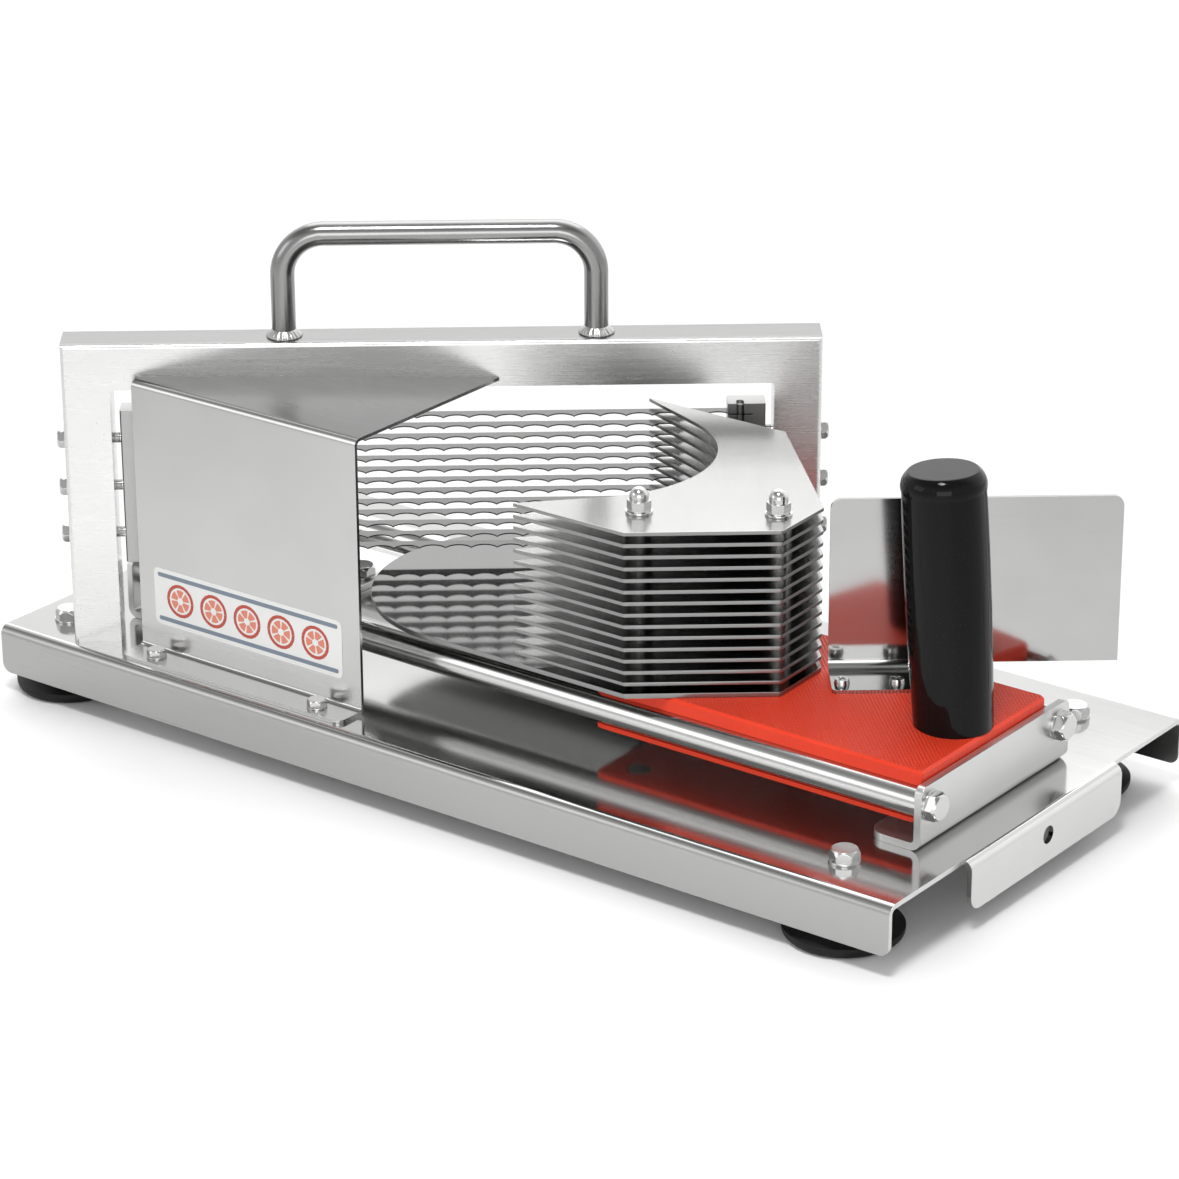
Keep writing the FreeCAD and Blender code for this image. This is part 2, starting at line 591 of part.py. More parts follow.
def slide_board():
    front = ROD_FRONT_Y - BOARD_LIP_REACH
    back = ROD_BACK_Y + BOARD_LIP_REACH
    board = prism([(BOARD_LEFT, front, 4.0), (BOARD_RIGHT, front, 4.0), (BOARD_RIGHT, back, 4.0),
                   (BOARD_LEFT, back, 4.0)], BOARD_SHEET, BOARD_LOW)
    far = BOARD_TOP + 1
    long_left, long_right = BOARD_LEFT - 1, BOARD_RIGHT + 1
    board = board.cut(box((long_left, front - 1, BOARD_LIP_TOP), (long_right, BOARD_TOP_FRONT, far)))
    board = board.cut(box((long_left, BOARD_TOP_BACK, BOARD_LIP_TOP), (long_right, back + 1, far)))
    board = fillet_where(board, 3.0, lambda edge: edge_at(
        edge, Z_AXIS, ((0, (BOARD_LEFT, BOARD_RIGHT)), (1, (BOARD_TOP_FRONT, BOARD_TOP_BACK)))))
    top_edges = [edge for edge in board.Edges if abs(edge.CenterOfMass.z - BOARD_TOP) < 0.01]
    board = board.makeChamfer(1.0, top_edges)
    groove = ROD_DIAMETER + 2 * GROOVE_CLEARANCE
    for y in (ROD_FRONT_Y, ROD_BACK_Y):
        board = board.cut(rod(groove, (long_left, y, ROD_HEIGHT), (long_right, y, ROD_HEIGHT)))
    for point in STUD_POINTS:
        board = board.cut(rod(STUD_DIAMETER, (point[0], point[1], 0), (point[0], point[1], far)))
        board = board.cut(countersink(STUD_DIAMETER, point))
    board = board.cut(rod(8.0, (GRIP_X, GRIP_Y, 0), (GRIP_X, GRIP_Y, far)))
    board = board.cut(countersink(8.0, (GRIP_X, GRIP_Y)))
    for along, behind in GUARD_SCREWS:
        x, y = portal_point(along, behind)
        board = board.cut(rod(3.0, (x, y, BOARD_TOP - 14), (x, y, far)))
    return board


def arc_edge(centre, radius, start_angle, end_angle, level):
    """Arc in a level plane, from one angle to another, both in radians."""
    points = []
    for angle in (start_angle, (start_angle + end_angle) / 2, end_angle):
        x = centre[0] + radius * math.cos(angle)
        y = centre[1] + radius * math.sin(angle)
        points.append(Vector(x, y, level))
    return Part.Arc(*points).toShape()


def tangent_angle(point, side):
    """Angle on the pocket's circle where a straight edge from a horn's tip meets it."""
    dx, dy = point[0] - POCKET_CENTRE[0], point[1] - POCKET_CENTRE[1]
    return math.atan2(dy, dx) + side * math.acos(POCKET_RADIUS / math.hypot(dx, dy))


def drill_for_studs(plate, low):
    for x, y in STUD_POINTS:
        plate = plate.cut(rod(STUD_DIAMETER, (x, y, low - 1), (x, y, low + TRAY_SHEET + 1)))
    return plate


def right_end(level):
    """The four corners that the tray and the pusher plates share."""
    return [Vector(x, y, level) for x, y in (CHAMFER_FRONT, SIDE_FRONT, SIDE_BACK, CHAMFER_BACK)]


def straight_edges(points):
    return [Part.LineSegment(points[index], points[index + 1]).toShape() for index in range(len(points) - 1)]


def round_corners(plate, level):
    """Take the sharp corners off the shared right end of a plate."""
    corners = (CHAMFER_FRONT, SIDE_FRONT, SIDE_BACK, CHAMFER_BACK)
    picked = [edge for edge in plate.Edges if any(
        edge_at(edge, Z_AXIS, ((0, (x,)), (1, (y,)))) for x, y in corners)]
    return plate.makeFillet(2.0, picked)


def tray_plate():
    """Lowest plate, which carries the vegetable; its free end is a half circle."""
    level = BOARD_TOP
    radius = (PUSHER_BACK_Y - PUSHER_FRONT_Y) / 2
    points = [Vector(TRAY_ROUND_X, PUSHER_FRONT_Y, level)] + right_end(level)
    points.append(Vector(TRAY_ROUND_X, PUSHER_BACK_Y, level))
    edges = straight_edges(points)
    edges.append(arc_edge((TRAY_ROUND_X, PUSHER_CENTRE_Y), radius, math.pi / 2, 3 * math.pi / 2, level))
    plate = Part.Face(Part.Wire(edges)).extrude(Vector(0, 0, TRAY_SHEET))
    return drill_for_studs(round_corners(plate, level), level)


def pusher_plate(number):
    """Plate with a round pocket and two horns that pass between the blades."""
    level = TRAY_TOP + number * PITCH - PLATE_SHEET
    front_tip = (HORN_FRONT_X, PUSHER_FRONT_Y)
    back_tip = (HORN_BACK_X, PUSHER_BACK_Y)
    front_angle = tangent_angle(front_tip, 1)
    back_angle = tangent_angle(back_tip, -1)
    pocket = arc_edge(POCKET_CENTRE, POCKET_RADIUS, back_angle, front_angle, level)
    pocket_start = pocket.Vertexes[0].Point
    pocket_end = pocket.Vertexes[1].Point
    front = Vector(*front_tip, level)
    edges = straight_edges([front] + right_end(level) + [Vector(*back_tip, level), pocket_start])
    edges.append(pocket)
    edges += straight_edges([pocket_end, front])
    plate = Part.Face(Part.Wire(edges)).extrude(Vector(0, 0, PLATE_SHEET))
    return drill_for_studs(round_corners(plate, level), level)


def pusher_spacers():
    """Rings that keep the plates one pitch apart on each stud."""
    rings = []
    for x, y in STUD_POINTS:
        for number in range(PLATE_COUNT):
            low = TRAY_TOP + number * PITCH
            ring = rod(SPACER_DIAMETER, (x, y, low), (x, y, low + PITCH - PLATE_SHEET))
            rings.append(ring.cut(rod(STUD_DIAMETER, (x, y, low), (x, y, low + PITCH))))
    return rings


def pusher_studs():
    """Long countersunk screws from the board's underside to the cap nuts."""
    studs = []
    for point in STUD_POINTS:
        shank = rod(STUD_DIAMETER, (point[0], point[1], BOARD_LOW), (point[0], point[1], STACK_TOP + 5.5))
        studs.append(shank.fuse(countersink(STUD_DIAMETER, point)).removeSplitter())
    return studs


def cap_nuts():
    nuts = []
    for x, y in STUD_POINTS:
        washer = rod(10.4, (x, y, STACK_TOP), (x, y, STACK_TOP + 1)).cut(
            rod(STUD_DIAMETER, (x, y, STACK_TOP), (x, y, STACK_TOP + 1)))
        low = STACK_TOP + 1
        body = hexagon(8.0, 4.0, 0)
        turned = Part.makeCone(4.1, 5.9, 2.5).fuse(Part.makeCylinder(5.9, 3, Vector(0, 0, 2.5)))
        neck = Part.makeCylinder(3.65, 1.5, Vector(0, 0, 4.0))
        dome = Part.makeSphere(3.65, Vector(0, 0, 5.5)).common(box((-5, -5, 5.5), (5, 5, 10)))
        nut = body.common(turned).fuse(neck).fuse(dome).removeSplitter()
        nut = nut.cut(Part.makeCylinder(STUD_DIAMETER / 2, 4.5, Vector(0, 0, 0)))
        nuts.append(aim(nut, (x, y, low), Z_AXIS))
        nuts.append(washer)
    return nuts


def push_grip():
    """Turned grip, a little fuller in its upper half."""
    sunk = 4.0
    edges = [Part.LineSegment(Vector(0, 0, -sunk), Vector(14.7, 0, -sunk)),
             Part.Arc(Vector(14.7, 0, -sunk), Vector(15.8, 0, 52), Vector(15.5, 0, 90)),
             Part.Arc(Vector(15.5, 0, 90), Vector(14.9, 0, 95.6), Vector(12.6, 0, GRIP_HEIGHT)),
             Part.LineSegment(Vector(12.6, 0, GRIP_HEIGHT), Vector(0, 0, GRIP_HEIGHT)),
             Part.LineSegment(Vector(0, 0, GRIP_HEIGHT), Vector(0, 0, -sunk))]
    profile = Part.Face(Part.Wire([edge.toShape() for edge in edges]))
    grip = profile.revolve(Vector(0, 0, 0), Z_AXIS, 360)
    lean = FreeCAD.Rotation(Y_AXIS, -GRIP_LEAN)
    grip.Placement = FreeCAD.Placement(Vector(GRIP_X, GRIP_Y, BOARD_TOP), lean)
    grip = grip.cut(box((GRIP_X - 30, GRIP_Y - 30, BOARD_TOP - 20), (GRIP_X + 30, GRIP_Y + 30, BOARD_TOP)))
    return grip.cut(rod(8.0, (GRIP_X, GRIP_Y, BOARD_TOP - 1), (GRIP_X, GRIP_Y, BOARD_TOP + 35)))


def grip_stud():
    shank = rod(8.0, (GRIP_X, GRIP_Y, BOARD_LOW), (GRIP_X, GRIP_Y, BOARD_TOP + 34))
    return shank.fuse(countersink(8.0, (GRIP_X, GRIP_Y))).removeSplitter()


def hand_guard():
    """Upright sheet with a folded foot on the slide board."""
    sheet, back, low = GUARD_SHEET, GUARD_BACK, BOARD_TOP
    front = back - GUARD_FOOT_REACH
    section = [(front, low, 0), (back, low, 5.0), (back, GUARD_TOP, 0), (back - sheet, GUARD_TOP, 0),
               (back - sheet, low + sheet, 3.5), (front, low + sheet, 0)]
    guard = section_along_x(section, GUARD_START, GUARD_FOOT_END)
    wing = box((GUARD_FOOT_END, back - sheet, low + 3.0), (GUARD_END, back, GUARD_TOP))
    guard = guard.fuse(wing).removeSplitter()
    guard = fillet_where(guard, 4.0, lambda edge: edge_at(
        edge, Y_AXIS, ((0, (GUARD_START, GUARD_END)), (2, (GUARD_TOP,)))))
    guard = fillet_where(guard, 2.0, lambda edge: edge_at(
        edge, Z_AXIS, ((0, (GUARD_START, GUARD_FOOT_END)), (1, (front,)))))
    for along, behind in GUARD_SCREWS:
        guard = guard.cut(rod(3.3, (along, behind, low - 1), (along, behind, low + 5)))
    return on_portal(guard)


def guard_screws():
    """Pan head screws with a cross recess."""
    screws = []
    low = BOARD_TOP + GUARD_SHEET
    for along, behind in GUARD_SCREWS:
        x, y = portal_point(along, behind)
        head = Part.makeCone(3.0, 2.6, 2.0)
        recess = box((-1.7, -0.4, 1.0), (1.7, 0.4, 3)).fuse(box((-0.4, -1.7, 1.0), (0.4, 1.7, 3)))
        head = head.cut(recess)
        screw = head.fuse(Part.makeCylinder(1.5, GUARD_SHEET + 13, Vector(0, 0, -GUARD_SHEET - 13)))
        screws.append(aim(screw.removeSplitter(), (x, y, low), Z_AXIS))
    return screws


# ---- all nodes ----------------------------------------------------------------


def all_nodes():
    nodes = {
        "base_plate": base_plate(),
        "foot_bolts": foot_bolts(),
        "portal_frame": portal_frame(),
        "leg_plugs": leg_plugs(),
        "portal_bolts": portal_bolts(),
        "carry_handle": carry_handle(),
        "blade_cover": blade_cover(),
        "cover_bolts": cover_bolts(),
        "left_blade_holder": blade_holder(HOLDER_LEFT, HOLDER_LEFT + HOLDER_WIDTH - SLOT_LENGTH,
                                          PIN_LEFT, HOLDER_LEFT),
        "right_blade_holder": blade_holder(HOLDER_RIGHT, HOLDER_RIGHT, PIN_RIGHT,
                                           HOLDER_RIGHT + HOLDER_WIDTH - 4.6),
        "blade_pins": blade_pins(),
        "tension_screws": tension_screws(),
        "left_rod_bracket": rod_bracket(BRACKET_LEFT_X, 1, BRACKET_LEFT_FOOT, BRACKET_LEFT_Y),
        "right_rod_bracket": rod_bracket(BRACKET_RIGHT_X, -1, BRACKET_RIGHT_FOOT, BRACKET_RIGHT_Y),
        "front_guide_rod": guide_rod(ROD_FRONT_Y),
        "back_guide_rod": guide_rod(ROD_BACK_Y),
        "rod_bolts": rod_bolts(),
        "bracket_screws": bracket_screws(),
        "slide_board": slide_board(),
        "tray_plate": tray_plate(),
        "pusher_spacers": pusher_spacers(),
        "pusher_studs": pusher_studs(),
        "cap_nuts": cap_nuts(),
        "push_grip": push_grip(),
        "grip_stud": grip_stud(),
        "hand_guard": hand_guard(),
        "guard_screws": guard_screws(),
    }
    for name, point in zip(FOOT_NAMES, FOOT_POINTS):
        nodes[name] = rubber_foot(point)
    for index in range(BLADE_COUNT):
        nodes["blade_%02d" % (index + 1)] = blade(index)
    for number in range(1, PLATE_COUNT + 1):
        nodes["pusher_plate_%02d" % number] = pusher_plate(number)
    return nodes


def main():
    os.makedirs("parts", exist_ok=True)
    for name, made in all_nodes().items():
        shape = Part.makeCompound(made) if isinstance(made, list) else made.copy()
        shape.translate(-ORIGIN)
        shape.exportStep("parts/%s.step" % name)
        print("%-20s solids %2d  volume %10.1f" % (name, len(shape.Solids), shape.Volume))


main()
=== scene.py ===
import json
import math

import bmesh
import bpy
from mathutils import Matrix, Vector


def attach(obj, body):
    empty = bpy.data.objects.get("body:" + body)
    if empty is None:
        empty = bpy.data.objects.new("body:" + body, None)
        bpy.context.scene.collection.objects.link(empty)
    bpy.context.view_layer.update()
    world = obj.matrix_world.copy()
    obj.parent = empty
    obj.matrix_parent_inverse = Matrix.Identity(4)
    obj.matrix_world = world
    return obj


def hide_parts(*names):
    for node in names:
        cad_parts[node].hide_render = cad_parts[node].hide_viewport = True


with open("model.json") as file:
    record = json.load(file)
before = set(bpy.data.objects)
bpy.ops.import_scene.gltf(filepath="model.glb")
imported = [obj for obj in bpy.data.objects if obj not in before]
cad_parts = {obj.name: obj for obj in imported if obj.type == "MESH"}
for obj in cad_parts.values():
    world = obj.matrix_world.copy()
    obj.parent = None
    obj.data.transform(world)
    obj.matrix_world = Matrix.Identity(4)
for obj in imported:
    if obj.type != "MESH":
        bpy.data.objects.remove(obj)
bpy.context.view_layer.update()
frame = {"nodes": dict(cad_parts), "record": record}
NODES = frame["nodes"]
BODY_OF = {node: body for body, members in frame["record"]["behaviour"]["bodies"].items() for node in members}
SLOT_OF = {part["node"]: part["material_slot"] for part in frame["record"]["subparts"]}
MM = 0.001

# ---- places of the CAD model, in its own millimetres ------------------------------
# x runs from the base's left end, y from its front edge, z from its upper surface.

ORIGIN = Vector((214.5, 102.25, -28.5))     # where the shared frame has its origin
BASE_END = 432.0                            # inner face of the base's end lip
PORTAL_FOOT = Vector((36.0, 5.5, 0.0))      # front left corner of the portal
PORTAL_ANGLE = math.radians(38.4)           # between the portal and the base's long side
PORTAL_LENGTH = 298.8
PORTAL_TOP = 125.4
TUBE = 18.8                                 # side of the portal's square tube
HOLDER_GAP = 3.1                            # between the tube and a blade holder
SCREW_LEVELS = (43.7, 63.7, 83.7)           # heights of the tension screws
HANDLE_LEGS = (87.5, 210.2)                 # places of the handle's legs along the portal
PANEL_FRONT = 18.58                         # a hair in front of the cover's panel
ROOF_LEVEL = 100.0                          # the portal's and the cover's roofs lie above it


def at(x, y, z):
    """Point of the CAD model in metres in the shared frame."""
    return (Vector((x, y, z)) - ORIGIN) * MM


def on_portal(along, behind, z):
    """Point along and behind the portal's front face, in the shared frame."""
    x = PORTAL_FOOT.x + along * math.cos(PORTAL_ANGLE) - behind * math.sin(PORTAL_ANGLE)
    y = PORTAL_FOOT.y + along * math.sin(PORTAL_ANGLE) + behind * math.cos(PORTAL_ANGLE)
    return at(x, y, z)


# ---- camera -----------------------------------------------------------------------

CAMERA_PLACE = at(1148.6, -1121.9, 662.0)
CAMERA_AZIMUTH = math.radians(37.121)
CAMERA_ELEVATION = math.radians(22.182)
CAMERA_ROLL = math.radians(-0.25)
CAMERA_LENS = 129.57
SENSOR_WIDTH = 36.0


def make_camera():
    """Camera turned by its azimuth, elevation and roll; its Z axis points back from the slicer."""
    back = Vector((math.sin(CAMERA_AZIMUTH) * math.cos(CAMERA_ELEVATION),
                   -math.cos(CAMERA_AZIMUTH) * math.cos(CAMERA_ELEVATION),
                   math.sin(CAMERA_ELEVATION)))
    level = Vector((math.cos(CAMERA_AZIMUTH), math.sin(CAMERA_AZIMUTH), 0))
    right = math.cos(CAMERA_ROLL) * level + math.sin(CAMERA_ROLL) * back.cross(level)
    turn = Matrix((right, back.cross(right), back)).transposed().to_4x4()
    data = bpy.data.cameras.new("camera")
    data.sensor_width = SENSOR_WIDTH
    data.lens = CAMERA_LENS
    data.clip_start = 0.05
    data.clip_end = 30.0
    camera = bpy.data.objects.new("camera", data)
    bpy.context.scene.collection.objects.link(camera)
    camera.matrix_world = Matrix.Translation(CAMERA_PLACE) @ turn
    bpy.context.scene.camera = camera


make_camera()


# ---- materials --------------------------------------------------------------------


class Nodes:
    """Short way to build a node tree."""

    def __init__(self, tree):
        self.tree = tree

    def add(self, kind, **values):
        node = self.tree.nodes.new(kind)
        inputs = values.pop("inputs", {})
        for key, value in values.items():
            setattr(node, key, value)
        for key, value in inputs.items():
            socket = node.inputs[key]
            if isinstance(value, bpy.types.NodeSocket):
                self.tree.links.new(value, socket)
            else:
                socket.default_value = value
        return node

    def math(self, operation, first, second=0.0, third=0.0, clamp=False):
        node = self.add("ShaderNodeMath", operation=operation, use_clamp=clamp,
                        inputs={0: first, 1: second, 2: third})
        return node.outputs[0]

    def vary(self, value, noise, amount):
        """Value plus the noise's departure from its middle, times an amount."""
        return self.math("MULTIPLY_ADD", self.math("SUBTRACT", noise, 0.5), amount, value)

    def remap(self, value, low, high, to_low, to_high):
        node = self.add("ShaderNodeMapRange", inputs={"Value": value, "From Min": low, "From Max": high,
                                                      "To Min": to_low, "To Max": to_high})
        return node.outputs["Result"]

    def noise(self, vector, scale, detail=2.0, roughness=0.5):
        node = self.add("ShaderNodeTexNoise", inputs={"Vector": vector, "Scale": scale, "Detail": detail,
                                                      "Roughness": roughness})
        return node.outputs["Fac"]

    def stretch(self, vector, scale, rotation=(0, 0, 0)):
        node = self.add("ShaderNodeMapping", inputs={"Vector": vector, "Scale": scale, "Rotation": rotation})
        return node.outputs["Vector"]

    def mix(self, factor, first, second):
        node = self.add("ShaderNodeMix", data_type="RGBA", inputs={0: factor, 6: first, 7: second})
        return node.outputs[2]

    def relief(self, height, strength, distance):
        node = self.add("ShaderNodeBump", inputs={"Height": height, "Strength": strength,
                                                  "Distance": distance})
        return node.outputs[0]


def new_material(name):
    """Empty material: its node builder, its shader and the place on the object."""
    material = bpy.data.materials.new(name)
    material.use_nodes = True
    material.node_tree.nodes.clear()
    n = Nodes(material.node_tree)
    out = n.add("ShaderNodeOutputMaterial")
    shader = n.add("ShaderNodeBsdfPrincipled")
    n.tree.links.new(shader.outputs[0], out.inputs[0])
    place = n.add("ShaderNodeTexCoord").outputs["Object"]
    return material, n, shader, place


def dress(n, shader, colour, roughness, normal):
    """Links the three parts of a look that vary over the surface."""
    n.tree.links.new(colour, shader.inputs["Base Color"])
    n.tree.links.new(roughness, shader.inputs["Roughness"])
    n.tree.links.new(normal, shader.inputs["Normal"])


def grey(value):
    """Grey a little warmer than neutral."""
    return (value, value, value * 0.99, 1.0)


BROAD_GRAIN = (8, 60, 60)
SCRATCH_GRAIN = (18, 1500, 300)
SCRATCH_TILT = (0.3, 0.2)
SCRATCH_TURN = 0.45
SMUDGE = 0.05
GRAIN_DEPTH = 0.03 * MM


def steel(name, tone, rough, grain=(30, 900, 900), turn=0.0, streak=0.08, bump=0.12, mottle=0.04):
    """Stainless steel: brushed streaks along one direction, cloudy patches and fine scratches.

    grain is the streaks' fineness along three axes after a turn about Z, streak their effect on the
    roughness, bump their height, and mottle the difference in tone between the patches.
    """
    material, n, shader, place = new_material(name)
    turned = n.stretch(place, (1, 1, 1), (0, 0, turn))
    brushed = n.noise(n.stretch(turned, grain), 1.0, 3.0, 0.6)
    broad = n.noise(n.stretch(turned, BROAD_GRAIN), 1.0, 2.0)
    cloud = n.noise(place, 14.0, 3.0, 0.55)
    scratches = n.noise(n.stretch(place, SCRATCH_GRAIN, (*SCRATCH_TILT, turn + SCRATCH_TURN)), 1.0, 2.0)
    scratch = n.remap(scratches, 0.70, 0.80, 0.0, 0.6)
    roughness = n.vary(n.vary(rough, brushed, streak), cloud, SMUDGE)
    roughness = n.math("MULTIPLY_ADD", scratch, 0.05, roughness, clamp=True)
    tint = n.vary(n.vary(n.vary(1.0, broad, 0.06), brushed, 0.05), cloud, mottle)
    shade = n.add("ShaderNodeCombineColor", inputs={0: tint, 1: tint, 2: tint}).outputs[0]
    colour = n.add("ShaderNodeMix", data_type="RGBA", blend_type="MULTIPLY",
                   inputs={0: 1.0, 6: grey(tone), 7: shade}).outputs[2]
    height = n.math("MULTIPLY_ADD", scratch, -0.4, brushed)
    shader.inputs["Metallic"].default_value = 1.0
    dress(n, shader, colour, roughness, n.relief(height, bump, GRAIN_DEPTH))
    return material


DIAMOND_PITCH = 1.9 * MM
RED_DARK, RED_LIGHT = (0.66, 0.036, 0.010, 1), (0.72, 0.044, 0.013, 1)
# painted shade for the pits of the diamond grain
RED_PIT_SHADE = (0.34, 0.016, 0.005, 1)


def red_board():
    """Coarse polyethylene sheet: diamond grain on its broad faces, saw marks on its sides."""
    material, n, shader, place = new_material("red_polyethylene")
    split = n.add("ShaderNodeSeparateXYZ", inputs={0: place})
    x, y = split.outputs[0], split.outputs[1]
    waves = 2 * math.pi / DIAMOND_PITCH
    first = n.math("SINE", n.math("MULTIPLY", n.math("ADD", x, y), waves))
    second = n.math("SINE", n.math("MULTIPLY", n.math("SUBTRACT", x, y), waves))
    diamonds = n.math("MAXIMUM", first, second)
    normal = n.add("ShaderNodeSeparateXYZ", inputs={0: n.add("ShaderNodeNewGeometry").outputs["Normal"]})
    flat = n.remap(n.math("ABSOLUTE", normal.outputs[2]), 0.85, 0.95, 0.0, 1.0)
    saw = n.noise(n.stretch(place, (700, 700, 25)), 1.0, 2.0)
    saw_depth = n.math("SUBTRACT", 0.7, n.math("MULTIPLY", flat, 0.6))
    height = n.math("ADD", n.math("MULTIPLY", n.math("MULTIPLY", diamonds, 0.5), flat),
                    n.math("MULTIPLY", saw, saw_depth))
    cloud = n.noise(place, 30.0, 3.0)
    colour = n.mix(n.remap(cloud, 0.3, 0.7, 0.0, 1.0), RED_DARK, RED_LIGHT)
    # darker red in the diamond grain's pits is painted shade
    pit_shade = n.math("MULTIPLY", n.remap(diamonds, -0.4, 0.9, 0.36, 0.0), flat)
    colour = n.mix(pit_shade, colour, RED_PIT_SHADE)
    dress(n, shader, colour, n.remap(cloud, 0.2, 0.8, 0.36, 0.48), n.relief(height, 1.0, 0.3 * MM))
    shader.inputs["Specular IOR Level"].default_value = 0.32
    shader.inputs["Subsurface Weight"].default_value = 0.12
    shader.inputs["Subsurface Radius"].default_value = (1.0, 0.12, 0.05)
    shader.inputs["Subsurface Scale"].default_value = 0.002
    return material


def black_gloss():
    """Polished black plastic with a faint orange peel and specks of dust."""
    material, n, shader, place = new_material("black_gloss_plastic")
    peel = n.noise(place, 160.0, 2.0)
    dust = n.remap(n.noise(place, 2600.0, 1.0), 0.70, 0.78, 0.0, 1.0)
    cloud = n.noise(place, 40.0, 3.0)
    colour = n.mix(dust, (0.005, 0.005, 0.005, 1), (0.03, 0.03, 0.03, 1))
    roughness = n.math("MULTIPLY_ADD", dust, 0.25, n.remap(cloud, 0.2, 0.8, 0.04, 0.10))
    dress(n, shader, colour, roughness, n.relief(peel, 0.12, 0.2 * MM))
    shader.inputs["Specular IOR Level"].default_value = 0.14
    return material


def black_rubber():
    """Matt black rubber with a fine grain."""
    material, n, shader, place = new_material("black_rubber")
    grain = n.noise(place, 900.0, 3.0)
    cloud = n.noise(place, 60.0, 3.0)
    colour = n.mix(cloud, (0.005, 0.005, 0.005, 1), (0.014, 0.013, 0.013, 1))
    dress(n, shader, colour, n.remap(cloud, 0.2, 0.8, 0.50, 0.68), n.relief(grain, 0.35, 0.2 * MM))
    shader.inputs["Specular IOR Level"].default_value = 0.22
    return material


def print_film(name, colour):
    """Printed film: faint mottling and a slightly uneven surface."""
    material, n, shader, place = new_material(name)
    cloud = n.noise(place, 220.0, 3.0)
    dark = tuple(channel * 0.93 for channel in colour[:3]) + (1,)
    relief = n.relief(n.noise(place, 90.0, 2.0), 0.1, 0.1 * MM)
    dress(n, shader, n.mix(cloud, dark, colour), n.remap(cloud, 0.2, 0.8, 0.34, 0.42), relief)
    return material


ALONG_PORTAL = -PORTAL_ANGLE        # turns the streaks to run along the portal
ASKEW = 0.9                         # turns them to run askew over the pusher's plates

SATIN = steel("satin_steel", tone=0.56, rough=0.24, streak=0.10)
PANEL = steel("cover_panel_steel", tone=0.52, rough=0.20, turn=0.05, streak=0.10, bump=0.07, mottle=0.25)
# painted shade: the cover's roof faces take a much darker copy of the panel's steel
COVER_ROOF_SHADE = steel("cover_roof_painted_shade_steel", tone=0.095, rough=0.30, grain=(40, 700, 700), streak=0.14, bump=0.2)
PORTAL_STEEL = steel("satin_portal_steel", tone=0.70, rough=0.27, turn=ALONG_PORTAL, streak=0.10,
                     bump=0.08, mottle=0.10)
# painted shade: the portal's roof faces take a darker copy of the portal's steel
PORTAL_ROOF_SHADE = steel("portal_roof_painted_shade_steel", tone=0.27, rough=0.24, turn=ALONG_PORTAL, streak=0.10, bump=0.08)
HANDLE = steel("handle_steel", tone=0.29, rough=0.22, grain=(40, 40, 600), streak=0.10, bump=0.08)
BASE = steel("polished_base_steel", tone=0.49, rough=0.12, streak=0.06, bump=0.08, mottle=0.20)
# the base's long flanges: a rougher satin finish, and a darker tone that is painted shade
FLANGE_SHADE = steel("satin_flange_painted_shade_steel", tone=0.40, rough=0.30, grain=(14, 900, 1400), streak=0.14, bump=0.2)
BRACKET = steel("satin_bracket_steel", tone=0.64, rough=0.34, grain=(900, 30, 900), streak=0.10)
MIRROR = steel("polished_plate_steel", tone=0.43, rough=0.22, turn=ASKEW, streak=0.06, bump=0.06, mottle=0.15)
GUARD = steel("polished_guard_steel", tone=0.45, rough=0.11, turn=ALONG_PORTAL, streak=0.05, bump=0.05,
              mottle=0.35)
GROUND = steel("ground_rod_steel", tone=0.60, rough=0.17, grain=(500, 60, 60), bump=0.06)
EDGE = steel("cut_edge_steel", tone=0.27, rough=0.32, grain=(900, 900, 40), streak=0.14, bump=0.25)
BLADE = steel("blade_steel", tone=0.13, rough=0.24, turn=ALONG_PORTAL)
# painted shade: near black steel for the blades' front faces
BLADE_EDGE_SHADE = steel("blade_bevel_steel", tone=0.04, rough=0.30, grain=(700, 700, 60), streak=0.10, bump=0.2)
MILLED = steel("milled_steel", tone=0.40, rough=0.34, grain=(60, 60, 900), streak=0.12, bump=0.3)
BRIGHT = steel("bright_fastener_steel", tone=0.60, rough=0.18, grain=(300, 300, 300), streak=0.10, bump=0.10)
TRAY = steel("polished_tray_steel", tone=0.24, rough=0.06, turn=ASKEW, streak=0.05, bump=0.05)
# painted shade: darker steel for the screw threads in the gap between tube and holder
SHADED_THREAD = steel("thread_painted_shade_steel", tone=0.22, rough=0.34, grain=(300, 300, 300), streak=0.12, bump=0.2)
WELD = steel("weld_steel", tone=0.50, rough=0.30, grain=(240, 240, 240), streak=0.16, bump=0.3)
RED = red_board()
BLACK = black_gloss()
RUBBER = black_rubber()
FILM = print_film("label_film", (0.70, 0.70, 0.69, 1))
SKIN = print_film("label_slice_skin", (0.42, 0.055, 0.035, 1))
FLESH = print_film("label_slice_flesh", (0.62, 0.20, 0.13, 1))
BAND = print_film("label_band", (0.16, 0.20, 0.25, 1))

MATERIAL_OF = {
    "base_steel": BASE, "satin_steel": SATIN, "mirror_steel": MIRROR, "ground_steel": GROUND,
    "blade_steel": BLADE, "holder_steel": MILLED, "fastener_steel": BRIGHT, "red_plastic": RED,
    "black_plastic": BLACK, "black_rubber": RUBBER,
}
OWN_MATERIAL = {
    "portal_frame": PORTAL_STEEL, "hand_guard": GUARD, "blade_cover": PANEL, "tray_plate": TRAY,
    "left_rod_bracket": BRACKET, "right_rod_bracket": BRACKET, "carry_handle": HANDLE,
}


# ---- the CAD nodes, finished --------------------------------------------------------

